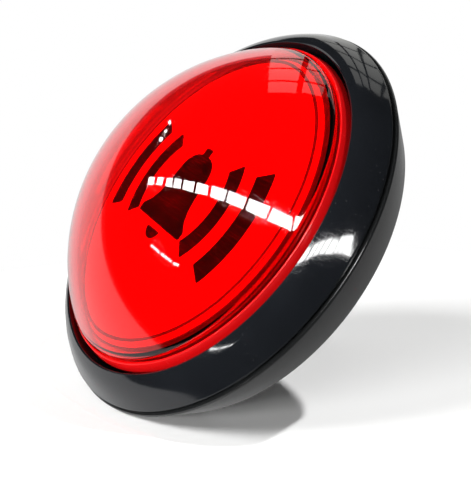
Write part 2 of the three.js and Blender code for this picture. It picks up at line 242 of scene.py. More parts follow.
# ------------------------------------------------------------------- materials
class Tree:
    def __init__(self, name):
        self.mat = bpy.data.materials.new(name)
        self.mat.use_nodes = True
        self.nt = self.mat.node_tree
        self.nt.nodes.clear()
        self.out = self.nt.nodes.new("ShaderNodeOutputMaterial")
        self.tc = self.nt.nodes.new("ShaderNodeTexCoord")

    def new(self, kind, **kw):
        n = self.nt.nodes.new(kind)
        for k, v in kw.items():
            setattr(n, k, v)
        return n

    def link(self, a, b):
        self.nt.links.new(a, b)

    def math(self, op, a, b=None, clamp=False):
        n = self.new("ShaderNodeMath", operation=op, use_clamp=clamp)
        for i, v in enumerate((a, b)):
            if v is None:
                continue
            if isinstance(v, (int, float)):
                n.inputs[i].default_value = v
            else:
                self.link(v, n.inputs[i])
        return n.outputs[0]

    def noise(self, scale, detail=3.0, rough=0.5, vec=None, distortion=0.0):
        n = self.new("ShaderNodeTexNoise")
        n.inputs["Scale"].default_value = scale
        n.inputs["Detail"].default_value = detail
        n.inputs["Roughness"].default_value = rough
        n.inputs["Distortion"].default_value = distortion
        self.link(vec or self.tc.outputs["Object"], n.inputs["Vector"])
        return n.outputs["Fac"]

    def mapped(self, rot, scale):
        n = self.new("ShaderNodeMapping")
        n.inputs["Rotation"].default_value = rot
        n.inputs["Scale"].default_value = scale
        self.link(self.tc.outputs["Object"], n.inputs["Vector"])
        return n.outputs["Vector"]

    def ramp(self, v, a, b, lo=0.0, hi=1.0):
        n = self.new("ShaderNodeMapRange")
        n.clamp = True
        n.inputs["From Min"].default_value, n.inputs["From Max"].default_value = a, b
        n.inputs["To Min"].default_value, n.inputs["To Max"].default_value = lo, hi
        self.link(v, n.inputs["Value"])
        return n.outputs["Result"]

    def mix(self, f, a, b):
        n = self.new("ShaderNodeMix", data_type="RGBA")
        self.link(f, n.inputs["Factor"])
        for s, v in ((n.inputs[6], a), (n.inputs[7], b)):
            if isinstance(v, (tuple, list)):
                s.default_value = (*v, 1.0)
            else:
                self.link(v, s)
        return n.outputs[2]

    def scratches(self, angles, along, across, width, patch_scale=90.0, patch=(0.42, 0.6)):
        """Fine hair lines: the level lines of a stretched noise, broken up into patches."""
        total = None
        for i, a in enumerate(angles):
            vec = self.mapped((0.12 * i, 0.08 * i, a), (across, along, 0.5 * (along + across)))
            v = self.noise(1.0, 1.0, 0.4, vec)
            d = self.math("ABSOLUTE", self.math("SUBTRACT", v, 0.5))
            line = self.ramp(d, 0.0, width, 1.0, 0.0)
            where = self.ramp(self.noise(patch_scale * (1 + 0.35 * i), 2.0, 0.6), patch[0], patch[1])
            line = self.math("MULTIPLY", line, where)
            total = line if total is None else self.math("MAXIMUM", total, line)
        return total

    def bump(self, height, strength, distance, normal=None):
        n = self.new("ShaderNodeBump")
        n.inputs["Strength"].default_value = strength
        n.inputs["Distance"].default_value = distance
        self.link(height, n.inputs["Height"])
        if normal is not None:
            self.link(normal, n.inputs["Normal"])
        return n.outputs["Normal"]


def plastic(name, base, rough, rvar=0.05, var=0.18, grain=0.12, grain_scale=2500.0, scratch=0.0, dust=0.0,
            coat=0.0, coat_rough=0.03, spec=0.5, metallic=0.0, large=35.0, ior=1.5, sss=0.0, brushed=None):
    t = Tree(name)
    p = t.new("ShaderNodeBsdfPrincipled")
    p.inputs["IOR"].default_value = ior
    p.inputs["Specular IOR Level"].default_value = spec
    p.inputs["Metallic"].default_value = metallic
    if coat:
        p.inputs["Coat Weight"].default_value = coat
        p.inputs["Coat Roughness"].default_value = coat_rough
    if sss:
        p.inputs["Subsurface Weight"].default_value = sss
        p.inputs["Subsurface Radius"].default_value = (0.003, 0.0008, 0.0008)
    tone = t.noise(large, 4.0, 0.55)
    dark = tuple(c * (1 - var) for c in base)
    light = tuple(min(1.0, c * (1 + var)) for c in base)
    colour = t.mix(t.ramp(tone, 0.3, 0.7), dark, light)
    fine = t.noise(grain_scale, 2.0, 0.6)
    if brushed:
        fine = t.noise(1.0, 3.0, 0.6, t.mapped((0, 0, 0), brushed))
    height = fine
    r = t.ramp(t.noise(large * 3.1, 3.0, 0.6), 0.3, 0.7, max(0.01, rough - rvar), rough + rvar)
    if scratch:
        s = t.scratches((0.35, 1.25, 2.3), 25.0, 900.0, 0.006)
        r = t.math("ADD", r, t.math("MULTIPLY", s, 0.25 * scratch), clamp=True)
        height = t.math("SUBTRACT", height, t.math("MULTIPLY", s, 2.0 * scratch))
    if dust:
        v = t.new("ShaderNodeTexVoronoi", feature="F1")
        v.inputs["Scale"].default_value = 1100.0
        t.link(t.tc.outputs["Object"], v.inputs["Vector"])
        spot = t.math("MULTIPLY", t.ramp(v.outputs["Distance"], 0.05, 0.11, 1.0, 0.0), t.ramp(t.noise(60.0, 2.0), 0.5, 0.62))
        colour = t.mix(t.math("MULTIPLY", spot, dust), colour, (0.35, 0.34, 0.33))
        r = t.math("ADD", r, t.math("MULTIPLY", spot, 0.4 * dust), clamp=True)
    t.link(colour, p.inputs["Base Color"])
    t.link(r, p.inputs["Roughness"])
    t.link(t.bump(height, grain, 0.00004), p.inputs["Normal"])
    t.link(p.outputs[0], t.out.inputs["Surface"])
    return t.mat


def clear_plastic(name, tint, shadow_tint, rough, ior=1.49, scratch=1.0):
    t = Tree(name)
    p = t.new("ShaderNodeBsdfPrincipled")
    p.inputs["Transmission Weight"].default_value = 1.0
    p.inputs["IOR"].default_value = ior
    s = t.scratches((0.2, 0.9, 1.7, 2.6), 18.0, 700.0, 0.004, 70.0, (0.45, 0.62))
    faint = t.noise(28.0, 3.0, 0.5)
    t.link(t.mix(t.ramp(faint, 0.3, 0.7), tuple(c * 0.97 for c in tint), tint), p.inputs["Base Color"])
    t.link(t.math("ADD", t.ramp(t.noise(120.0, 2.0), 0.3, 0.7, rough, rough + 0.012), t.math("MULTIPLY", s, 0.03 * scratch)), p.inputs["Roughness"])
    t.link(t.bump(t.math("SUBTRACT", t.math("MULTIPLY", t.noise(1500.0, 2.0), 0.15), s), 0.05 * scratch, 0.00002), p.inputs["Normal"])
    clear = t.new("ShaderNodeBsdfTransparent")
    clear.inputs["Color"].default_value = (*shadow_tint, 1.0)
    lp = t.new("ShaderNodeLightPath")
    m = t.new("ShaderNodeMixShader")
    t.link(lp.outputs["Is Shadow Ray"], m.inputs[0])
    t.link(p.outputs[0], m.inputs[1])
    t.link(clear.outputs[0], m.inputs[2])
    t.link(m.outputs[0], t.out.inputs["Surface"])
    return t.mat


def print_ink(name):
    t = Tree(name)
    p = t.new("ShaderNodeBsdfPrincipled")
    p.inputs["IOR"].default_value = 1.45
    s = t.scratches((0.3, 0.8, 1.35, 2.05, 2.7), 22.0, 800.0, 0.011, 80.0, (0.4, 0.56))
    s2 = t.scratches((1.1, 2.4), 60.0, 1600.0, 0.012, 140.0, (0.45, 0.6))
    s = t.math("MAXIMUM", s, t.math("MULTIPLY", s2, 0.7))
    tone = t.ramp(t.noise(160.0, 4.0, 0.6), 0.3, 0.75)
    p.inputs["Specular IOR Level"].default_value = 0.2
    ink = t.mix(tone, (0.0030, 0.0006, 0.0014), (0.0090, 0.0015, 0.0040))
    # partly painted glint: the scratch lines are coloured a lighter red, in part the red film showing through worn ink
    # and in part a painted glint where the scratches catch the light
    t.link(t.mix(t.math("MULTIPLY", s, 0.22), ink, (0.30, 0.05, 0.07)), p.inputs["Base Color"])
    t.link(t.ramp(t.noise(300.0, 2.0), 0.3, 0.7, 0.32, 0.5), p.inputs["Roughness"])
    t.link(t.bump(s, 0.25, 0.00003), p.inputs["Normal"])
    t.link(p.outputs[0], t.out.inputs["Surface"])
    return t.mat


M = {
    "bezel": plastic("bezel_gloss_black", (0.0048, 0.0055, 0.0068), 0.07, 0.03, 0.3, 0.05, 1800.0, scratch=0.35, dust=0.12),
    "base": plastic("base_satin_black", (0.0085, 0.0090, 0.0092), 0.13, 0.04, 0.25, 0.08, 3200.0, scratch=0.3, dust=0.1),
    "matte": plastic("matte_black_nylon", (0.011, 0.011, 0.012), 0.42, 0.07, 0.22, 0.35, 3500.0, scratch=0.15, dust=0.2),
    # partly painted shade: this red is darker than the diffuser's, the plunger's own red darkened further to stand in
    # for the shade the bezel lip casts on the flange
    "red": plastic("red_moulded_plastic", (0.50, 0.003, 0.004), 0.22, 0.05, 0.06, 0.06, 2600.0, scratch=0.2, spec=0.3),
    "diffuser": plastic("red_diffuser_plastic", (0.95, 0.004, 0.008), 0.38, 0.05, 0.03, 0.10, 3000.0, scratch=0.1, sss=0.15),
    "film": plastic("red_legend_film", (0.95, 0.004, 0.007), 0.42, 0.05, 0.03, 0.04, 2200.0, scratch=0.2, spec=0.25),
    "ink": print_ink("black_print_ink"),
    # painted shade: this dark red stands in for the shade in the gaps at the legend sheet's edge and between the
    # diffuser disc and the dome's foot
    "edge": plastic("dark_red_painted_shade", (0.13, 0.0015, 0.003), 0.30, 0.05, 0.2, 0.06, 2200.0, scratch=0.2, spec=0.3),
    "dome": clear_plastic("clear_red_acrylic", (0.97, 0.06, 0.07), (0.97, 0.10, 0.10), 0.006),
    "lamp": clear_plastic("clear_lamp_epoxy", (0.95, 0.95, 0.93), (0.9, 0.9, 0.88), 0.02),
    "lamp_base": plastic("lamp_white_ceramic", (0.72, 0.71, 0.67), 0.3, 0.06, 0.05, 0.2, 2600.0),
    "steel": plastic("zinc_plated_steel", (0.55, 0.56, 0.58), 0.27, 0.06, 0.1, 0.25, 3000.0, scratch=0.4, metallic=1.0),
    "spring": plastic("spring_steel_wire", (0.42, 0.43, 0.45), 0.24, 0.05, 0.12, 0.2, 3800.0, scratch=0.2, metallic=1.0),
    "brass": plastic("tinned_brass", (0.66, 0.60, 0.44), 0.3, 0.07, 0.12, 0.25, 3000.0, scratch=0.4, metallic=1.0),
    "nut": plastic("nut_black_nylon", (0.012, 0.012, 0.013), 0.36, 0.06, 0.2, 0.28, 3000.0, scratch=0.3, dust=0.3),
}


def paint(o, key):
    o.data.materials.clear()
    o.data.materials.append(M[key])
    return o


def piece(o, key, body, slot, *nodes):
    paint(o, key)
    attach(o, body)
    if nodes:
        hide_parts(*nodes)
    return o


# ---------------------------------------------------------------------- pieces
def arc_pts(centre_z, radius, r_from, r_to, n):
    """Points of a sphere's meridian from r_from to r_to."""
    a0, a1 = math.asin(r_from / radius), math.asin(r_to / radius)
    return [(radius * math.sin(a0 + (a1 - a0) * i / n), centre_z + radius * math.cos(a0 + (a1 - a0) * i / n)) for i in range(n + 1)]


DOME_FOOT_R, DOME_FOOT_Z, DOME_TOP = 40.5, 17.6, 36.3
rise = DOME_TOP - DOME_FOOT_Z
DOME_R = (DOME_FOOT_R ** 2 + rise ** 2) / (2 * rise)
DOME_C = DOME_TOP - DOME_R


def make_dome():
    inner_r = DOME_R - 2.2
    rim_in = 38.4
    outer = arc_pts(DOME_C, DOME_R, 0.0, DOME_FOOT_R - 0.06, 72)
    inner = arc_pts(DOME_C, inner_r, 0.0, rim_in, 64)
    outer[0] = (0.0, DOME_TOP)
    inner[0] = (0.0, DOME_C + inner_r)
    foot = rounded([(DOME_FOOT_R, DOME_FOOT_Z - 0.2, 0.0), (DOME_FOOT_R, 15.5, 0.3), (rim_in, 15.5, 0.3), (rim_in, inner[-1][1] - 0.3, 0.0)], 4)
    prof = outer + foot + inner[::-1]
    o = lathe("dome_shell", prof, 288)
    piece(o, "dome", "button", "red_clear", "dome_lens")
    tabs = [sector("tab", 38.6, 40.2, a - 5, a + 5, 11.6, 15.42, 12) for a in (45, 135, 225, 315)]
    for t in tabs:
        bm = bmesh.new()
        bm.from_mesh(t.data)
        bmesh.ops.bevel(bm, geom=[e for e in bm.edges if e.calc_face_angle(0) > 0.6], offset=0.00015, segments=2, affect="EDGES")
        bm.to_mesh(t.data)
        bm.free()
        shade(t.data, 40)
    piece(merge("dome_clips", tabs), "dome", "button", "red_clear")


def make_button():
    prof = rounded([(7.6, 15.2, 0.3), (40.8, 15.2, 0.12), (40.9, 16.4, 0.18), (41.3, 16.4, 0.2), (42.1, 14.3, 0.35), (42.1, 10.8, 0.25), (40.7, 10.8, 0.2),
                    (40.7, 13.6, 0.3), (9.55, 13.6, 0.5), (9.55, -16.0, 0.25), (7.6, -16.0, 0.25)], 4)
    o = lathe("plunger_shell", prof, 256)
    cuts = [sector("c", 38.45, 40.35, a - 5.3, a + 5.3, 10.0, 15.9, 14) for a in (45, 135, 225, 315)]
    boolean(o, cuts)
    hooks = []
    for s in (1, -1):
        h = block("hook", -1.95, 1.95, 9.3 * s if s > 0 else -10.95, 10.95 if s > 0 else -9.3, -11.5, -8.5, 0.2)
        hooks.append(h)
    leg = block("leg", -7.95, -6.4, -1.6, 1.6, -27.85, -14.0, 0.25)
    root = block("root", -9.2, -6.4, -1.55, 1.55, -15.9, -12.0, 0.25)
    boolean(o, hooks + [leg, root], "UNION")
    piece(o, "red", "button", "red_plastic", "plunger_frame")

    d = lathe("diffuser_plate", rounded([(0.0, 15.5), (37.2, 15.5, 0.3), (37.2, 17.0, 0.4), (0.0, 17.0)], 5), 256)
    piece(d, "diffuser", "button", "red_diffuser", "diffuser_disc")
    f = lathe("legend_sheet", rounded([(0.0, 17.3), (36.4, 17.3, 0.08), (36.4, 17.6, 0.12), (0.0, 17.6)], 4), 256)
    piece(f, "film", "button", "label_film", "label_film")


# The pictogram is laid out as (s along the reading direction, t up), and placed with s on +Y and t on -X.
PRINT_S0, PRINT_T0 = -2.0, -0.5


def printed(name, outline, z0=17.62, z1=17.70):
    pts = [(-(t + PRINT_T0), s + PRINT_S0) for s, t in outline]
    return prism(name, pts, z0, z1, 40)


def fillet_outline(pts, n=5):
    return rounded(pts, n)


def make_print():
    # bell: crown, flared skirt, clapper
    right = [(0.0, 11.6), (1.5, 11.6, 0.5), (1.5, 9.6, 0.5)]
    curve = [(1.5 + 5.2 * math.sin(a), 4.4 + 5.2 * math.cos(a)) for a in np.radians(np.linspace(12, 78, 9))]
    skirt = [(7.2, 0.0), (7.9, -3.0), (9.2, -5.4), (11.4, -7.4, 0.6), (11.4, -9.4, 0.6), (0.0, -9.4)]
    half = right + curve + skirt
    left = [tuple([-p[0], *p[1:]]) for p in half[1:-1]][::-1]
    bell = printed("legend_bell", fillet_outline(half + left))
    a = np.radians(np.linspace(-172, -8, 20))
    clap = printed("legend_clapper", [(3.2 * math.cos(t), -10.3 + 3.0 * math.sin(t)) for t in a])
    parts = [bell, clap]
    for k, (r0, r1, half_deg) in enumerate(((15.2, 19.8, 37.0), (24.2, 29.6, 27.0))):
        for side in (0.0, 180.0):
            arc = np.radians(np.linspace(side - half_deg, side + half_deg, 30))
            rc = 0.9
            outline = []
            for r, seq, sgn in ((r1, arc, 1), (r0, arc[::-1], -1)):
                outline += [(r * math.cos(t), r * math.sin(t)) for t in seq]
            n = len(arc)
            outline = [(*p, rc) if i in (0, n - 1, n, 2 * n - 1) else p for i, p in enumerate(outline)]
            # the corner fillets need straight neighbours; the arc's end steps limit how large they can be
            parts.append(printed("legend_arc", fillet_outline(outline)))
    piece(merge("legend_print", parts), "ink", "button", "label_film")
    # painted shade: a dark red ring on the legend sheet's edge, standing in for the shade where the film meets the disc
    edge_shade_mesh = lathe("painted_film_edge_shade", rounded([(35.55, 17.62), (35.55, 17.68, 0.02), (36.3, 17.68, 0.02), (36.3, 17.62)], 2), 256)
    piece(edge_shade_mesh, "edge", "button", "label_film")
    # painted shade: a dark red ring in the gap between the diffuser disc and the dome's foot, where there is only shade
    gap_shade_mesh = lathe("painted_disc_gap_shade", rounded([(37.25, 15.35, 0.1), (37.65, 15.35, 0.1), (37.65, 16.9, 0.15), (37.25, 16.9, 0.15)], 4), 256)
    piece(gap_shade_mesh, "edge", "button", "red_diffuser")


def make_bezel():
    crown = [(43.35 + 6.05 * s, 16.3 - 5.1 * s + 0.85 * math.sin(math.pi * s)) for s in np.linspace(0.0, 1.0, 33)]
    prof = rounded([(43.1, 5.3, 0.3), (43.1, 16.0, 0.22)] + crown[1:-1]
                   + [(49.4, 11.2, 0.25), (49.2, 10.5, 0.2), (47.8, 10.5, 0.2), (46.6, 12.6, 0.4), (44.6, 14.2, 0.4), (44.6, 3.3, 0.25), (34.0, 3.3, 0.25), (34.0, 5.3, 0.25)], 4)
    o = lathe("bezel_shell", prof, 320)
    bosses = []
    for k in range(4):
        t = math.radians(90 * k)
        c = (37 * math.cos(t), 37 * math.sin(t))
        bosses.append(lathe("boss", rounded([(0.0, 4.6), (3.0, 4.6), (3.0, 8.2, 0.25), (0.0, 8.2)], 3), 48, c))
    boolean(o, bosses, "UNION")
    pilots = []
    for k in range(4):
        t = math.radians(90 * k)
        c = (37 * math.cos(t), 37 * math.sin(t))
        pilots.append(lathe("pilot", [(0.0, 2.5), (1.55, 2.5), (1.55, 7.6), (0.0, 7.6)], 32, c))
    boolean(o, pilots)
    piece(o, "bezel", "housing", "black_gloss", "bezel_ring")


def barrel_grid(name):
    """The threaded barrel with a true helical thread, its snap windows and its bayonet slots, as one closed shell."""
    nt, z_top, z_end = 240, -1.2, -24.0
    zs = list(np.arange(z_top, z_end, -0.2)) + [z_end]
    for extra in (-8.2, -16.0, -20.4, -22.8):
        zs[int(np.argmin([abs(z - extra) for z in zs]))] = extra
    nz = len(zs)

    def radius(k, z):
        turn = (z / 2.0 - k / nt) % 1.0
        tri = 1.0 - abs(2.0 * turn - 1.0)
        crest = min(1.0, max(0.0, (tri - 0.12) / 0.62))
        fade = min(1.0, max(0.0, (-1.8 - z) / 1.2)) * min(1.0, max(0.0, (z + 23.4) / 1.0))
        return 11.2 + 0.8 * crest * fade + (0.75 * max(0.0, 1 - (-1.2 - z) / 0.8) if z > -2.0 else 0.0)

    def open_cell(k, j):
        ang = 360.0 * (k + 0.5) / nt
        z = 0.5 * (zs[j] + zs[j + 1])
        for a in (90.0, 270.0):
            if abs(ang - a) < 12.5 and -16.0 < z < -8.2:
                return True
        for a in (0.0, 180.0):
            d = (ang - a + 180.0) % 360.0 - 180.0
            if -11.0 < d < 42.0 and -22.8 < z < -20.4:
                return True
            if 19.0 < d < 42.0 and z < -20.4:
                return True
        return False

    verts, outer, inner = [], {}, {}

    def vert(table, k, j, r):
        key = (k % nt, j)
        if key not in table:
            t = 2 * math.pi * (k % nt) / nt
            table[key] = len(verts)
            verts.append((r * math.cos(t) * MM, r * math.sin(t) * MM, zs[j] * MM))
        return table[key]

    def vo(k, j):
        return vert(outer, k, j, radius(k % nt, zs[j]))

    def vi(k, j):
        return vert(inner, k, j, 10.0 + (0.25 if j == nz - 1 else 0.0))

    faces = []
    gone = {(k, j): open_cell(k, j) for k in range(nt) for j in range(nz - 1)}
    for k in range(nt):
        for j in range(nz - 1):
            if gone[(k, j)]:
                continue
            faces.append([vo(k, j + 1), vo(k + 1, j + 1), vo(k + 1, j), vo(k, j)])
            faces.append([vi(k, j), vi(k + 1, j), vi(k + 1, j + 1), vi(k, j + 1)])
            if gone[((k - 1) % nt, j)]:
                faces.append([vo(k, j + 1), vo(k, j), vi(k, j), vi(k, j + 1)])
            if gone[((k + 1) % nt, j)]:
                faces.append([vo(k + 1, j), vo(k + 1, j + 1), vi(k + 1, j + 1), vi(k + 1, j)])
            if j == 0 or gone[(k, j - 1)]:
                faces.append([vo(k, j), vo(k + 1, j), vi(k + 1, j), vi(k, j)])
            if j == nz - 2 or gone[(k, j + 1)]:
                faces.append([vo(k + 1, j + 1), vo(k, j + 1), vi(k, j + 1), vi(k + 1, j + 1)])
    return mesh_of(name, verts, faces, 38)


def make_base():
    prof = rounded([(10.0, 3.0, 0.3), (10.0, -1.4), (12.1, -1.4, 0.2), (12.1, 0.0, 0.25), (45.8, 0.0, 0.35), (50.0, 9.8, 0.3), (49.8, 10.2, 0.15),
                    (47.8, 10.2, 0.2), (45.0, 3.0, 0.8)], 4)
    o = lathe("base_dish", prof, 320)
    cuts = []
    for k in range(4):
        t = math.radians(90 * k)
        c = (37 * math.cos(t), 37 * math.sin(t))
        cuts.append(lathe("recess", [(0.0, -1.0), (3.2, -1.0), (3.2, 2.0), (1.6, 2.0), (1.6, 4.0), (0.0, 4.0)], 48, c))
    boolean(o, cuts)
    piece(o, "base", "housing", "black_satin", "base_housing")
    piece(barrel_grid("threaded_barrel"), "base", "housing", "black_satin")


def make_screws():
    for k in range(4):
        t = math.radians(90 * k)
        c = (37 * math.cos(t), 37 * math.sin(t))
        prof = [(0.0, 0.2), (1.4, 0.24), (2.2, 0.4), (2.62, 0.7), (2.8, 1.1), (2.8, 1.7), (1.2, 1.7)]
        z = 1.7
        while z < 6.4:
            prof += [(1.2, z + 0.1), (1.0, z + 0.3), (1.2, z + 0.5)]
            z += 0.6
        prof += [(1.0, 6.7), (0.4, 7.3), (0.0, 7.3)]
        o = lathe("screw_%d" % (k + 1), prof, 56, c)
        slot = []
        for turned in (0, 1):
            b = block("x", -1.55, 1.55, -0.26, 0.26, -0.2, 0.95, 0.06, 2)
            m = Matrix.Translation((c[0] * MM, c[1] * MM, 0)) @ Matrix.Rotation(t + 0.5 + turned * math.pi / 2, 4, "Z")
            b.data.transform(m)
            slot.append(b)
        boolean(o, slot)
        piece(o, "steel", "housing", "steel", "bezel_screw_%d" % (k + 1))


def make_spring():
    r, w, turns, z0, z1 = 12.5, 0.6, 3.5, 3.9, 12.7
    n, m = 460, 16
    verts, faces = [], []
    flat = 0.75
    for i in range(n + 1):
        s = i / n * turns
        if s < flat:
            rise_ = 0.08 * s / flat * 0.0
        z = z0 + (z1 - z0) * i / n
        t = 2 * math.pi * s
        c = np.array([r * math.cos(t), r * math.sin(t), z])
        tan = np.array([-r * math.sin(t) * 2 * math.pi, r * math.cos(t) * 2 * math.pi, (z1 - z0) / turns])
        tan /= np.linalg.norm(tan)
        out = np.array([math.cos(t), math.sin(t), 0.0])
        up = np.cross(tan, out)
        for k in range(m):
            a = 2 * math.pi * k / m
            verts.append((c + w * (math.cos(a) * out + math.sin(a) * up)) * MM)
    for i in range(n):
        for k in range(m):
            j = (k + 1) % m
            faces.append([i * m + k, i * m + j, (i + 1) * m + j, (i + 1) * m + k])
    faces.append([k for k in range(m)][::-1])
    faces.append([n * m + k for k in range(m)])
    o = mesh_of("return_coil", verts, faces, 50)
    piece(o, "spring", "housing", "spring_steel", "return_spring")
    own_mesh(o)


def make_nut():
    # hexagon with chamfered corners on both faces
    n = 240
    verts, rows = [], []
    for r_scale, z, hexy in ((0.90, -6.4, 0), (1.0, -7.2, 1), (1.0, -11.6, 1), (0.90, -12.4, 0)):
        row = []
        for k in range(n):
            t = 2 * math.pi * k / n
            d = (t % (math.pi / 3)) - math.pi / 6
            flat = 18.0 * math.cos(math.pi / 6) / math.cos(d)
            rr = min(flat, 17.7)
            if not hexy:
                rr = min(rr, 15.9)
            row.append(len(verts))
            verts.append((rr * math.cos(t) * MM, rr * math.sin(t) * MM, z * MM))
        rows.append(row)
    for r, z in ((13.0, -12.4), (12.5, -11.9), (12.5, -6.9), (13.0, -6.4)):
        row = []
        for k in range(n):
            t = 2 * math.pi * k / n
            row.append(len(verts))
            verts.append((r * math.cos(t) * MM, r * math.sin(t) * MM, z * MM))
        rows.append(row)
    faces = []
    for i in range(len(rows)):
        a, b = rows[i], rows[(i + 1) % len(rows)]
        for k in range(n):
            j = (k + 1) % n
            faces.append([a[k], a[j], b[j], b[k]])
    o = mesh_of("panel_nut", verts, faces, 24)
    piece(o, "nut", "nut", "nut_black", "mounting_nut")
    w = lathe("panel_washer", rounded([(12.5, -6.1, 0.12), (12.5, -5.0, 0.12), (19.2, -5.0, 0.15), (19.2, -6.1, 0.3)], 3), 192)
    piece(w, "steel", "washer", "steel", "nut_washer")


def make_lamp():
    prof = [(0.0, -17.0), (5.0, -17.0), (5.0, -16.35)] + [(4.4, -16.2), (4.4, -11.4)]
    prof += [(4.4 * math.cos(a), -11.4 + 4.4 * math.sin(a)) for a in np.radians(np.linspace(6, 84, 16))] + [(0.0, -7.0)]
    o = lathe("lamp_lens", prof, 96)
    piece(o, "lamp", "holder", "lamp_clear", "led_lens")


CARRIED = {
    "lamp_holder": ("matte", 0.15), "switch_case": ("matte", 0.12), "switch_cover": ("matte", 0.1), "led_base": ("lamp_base", 0.12),
    "lamp_terminal_left": ("brass", 0.05), "lamp_terminal_right": ("brass", 0.05), "terminal_common": ("brass", 0.04),
    "terminal_normally_open": ("brass", 0.04), "terminal_normally_closed": ("brass", 0.04), "switch_lever": ("steel", 0.04),
    "switch_button": ("red", 0.08), "switch_blade": ("brass", 0.03),
}


def finish_cad_nodes():
    for n, (key, w) in CARRIED.items():
        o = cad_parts[n]
        o.data.materials.clear()
        o.data.materials.append(M[key])
        for p in o.data.polygons:
            p.use_smooth = True
            p.material_index = 0
        weld = o.modifiers.new("weld", "WELD")
        weld.merge_threshold = 1e-6
        flat = o.modifiers.new("planar", "DECIMATE")
        flat.decimate_type = "DISSOLVE"
        flat.angle_limit = math.radians(0.6)
        bev = o.modifiers.new("edge", "BEVEL")
        bev.width, bev.segments = w * MM, 2
        bev.limit_method, bev.angle_limit = "ANGLE", math.radians(38)
        bev.use_clamp_overlap = True
        wn = o.modifiers.new("normals", "WEIGHTED_NORMAL")
        wn.keep_sharp = True


make_camera()
make_dome()
make_button()
make_print()
make_bezel()
make_base()
make_screws()
make_spring()
make_nut()
make_lamp()
finish_cad_nodes()


# ----------------------------------------------------------------------- stage
TABLE_EL, TABLE_W = math.radians(37.5), math.radians(18.0)
TABLE_N = np.array([-math.cos(TABLE_EL) * math.cos(TABLE_W), -math.cos(TABLE_EL) * math.sin(TABLE_W), math.sin(TABLE_EL)])
TOUCH = np.array([50 * math.cos(TABLE_W), 50 * math.sin(TABLE_W), 9.8]) * MM - TABLE_N * 0.0002


def make_floor():
    n = Vector(TABLE_N)
    q = n.to_track_quat("Z", "Y").to_matrix().to_4x4()
    q.translation = Vector(TOUCH)
    size, cells = 3.0, 24
    verts = [(-size + 2 * size * i / cells, -size + 2 * size * j / cells, 0.0) for j in range(cells + 1) for i in range(cells + 1)]
    faces = [[j * (cells + 1) + i, j * (cells + 1) + i + 1, (j + 1) * (cells + 1) + i + 1, (j + 1) * (cells + 1) + i] for j in range(cells) for i in range(cells)]
    me = bpy.data.meshes.new("floor")
    me.from_pydata(verts, [], faces)
    o = link(me, "floor")
    o.matrix_world = q
    t = Tree("pale_floor")
    p = t.new("ShaderNodeBsdfPrincipled")
    p.inputs["Specular IOR Level"].default_value = 0.1
    tone = t.ramp(t.noise(6.0, 3.0), 0.3, 0.7)
    t.link(t.mix(tone, (0.90, 0.90, 0.89), (0.93, 0.93, 0.925)), p.inputs["Base Color"])
    t.link(t.ramp(t.noise(40.0), 0.3, 0.7, 0.6, 0.75), p.inputs["Roughness"])
    clear = t.new("ShaderNodeBsdfTransparent")
    geo = t.new("ShaderNodeNewGeometry")
    white = t.new("ShaderNodeEmission")
    white.inputs["Strength"].default_value = 1.0
    dist = t.new("ShaderNodeVectorMath", operation="LENGTH")
    t.link(t.tc.outputs["Object"], dist.inputs[0])
    far = t.new("ShaderNodeMixShader")
    t.link(t.ramp(dist.outputs["Value"], 0.10, 0.19), far.inputs[0])
    t.link(p.outputs[0], far.inputs[1])
    t.link(white.outputs[0], far.inputs[2])
    m = t.new("ShaderNodeMixShader")
    t.link(geo.outputs["Backfacing"], m.inputs[0])
    t.link(far.outputs[0], m.inputs[1])
    t.link(clear.outputs[0], m.inputs[2])
    t.link(m.outputs[0], t.out.inputs["Surface"])
    me.materials.append(t.mat)
    o.visible_glossy = o.visible_transmission = False
    return o


def bounce(px, py):
    """Where the line of sight through (px, py) meets the dome, and the direction in which it leaves again."""
    d, c = look(px, py), np.array([0, 0, DOME_C]) * MM
    oc = CAM_AT - c
    b = float(oc @ d)
    disc = b * b - (float(oc @ oc) - (DOME_R * MM) ** 2)
    hit = CAM_AT + (-b - math.sqrt(disc)) * d
    n = (hit - c) / (DOME_R * MM)
    return hit, d - 2 * float(d @ n) * n


def glow(name, colour, strength):
    mat = bpy.data.materials.new(name)
    mat.use_nodes = True
    nt = mat.node_tree
    nt.nodes.clear()
    out, em = nt.nodes.new("ShaderNodeOutputMaterial"), nt.nodes.new("ShaderNodeEmission")
    em.inputs["Color"].default_value = (*colour, 1.0)
    em.inputs["Strength"].default_value = strength
    nt.links.new(em.outputs[0], out.inputs["Surface"])
    return mat


def windows(name, quads, strength, colour=(1, 1, 1), far=1.6, sub=4):
    """Bright panes far from the object, each given by the corners of its mirror image in the dome."""
    verts, faces = [], []
    for q in quads:
        q = [np.array(p, float) for p in q]
        base = len(verts)
        for j in range(sub + 1):
            for i in range(sub + 1):
                s, t = i / sub, j / sub
                p = (1 - t) * ((1 - s) * q[0] + s * q[1]) + t * ((1 - s) * q[3] + s * q[2])
                hit, r = bounce(*p)
                verts.append(tuple(hit + r * far))
        for j in range(sub):
            for i in range(sub):
                a = base + j * (sub + 1) + i
                faces.append([a, a + 1, a + sub + 2, a + sub + 1])
    me = bpy.data.meshes.new(name)
    me.from_pydata(verts, [], faces)
    o = link(me, name)
    me.materials.append(glow(name, colour, strength))
    o.visible_camera = False
    o.visible_diffuse = False
    o.visible_shadow = False
    o.visible_transmission = False
    return o


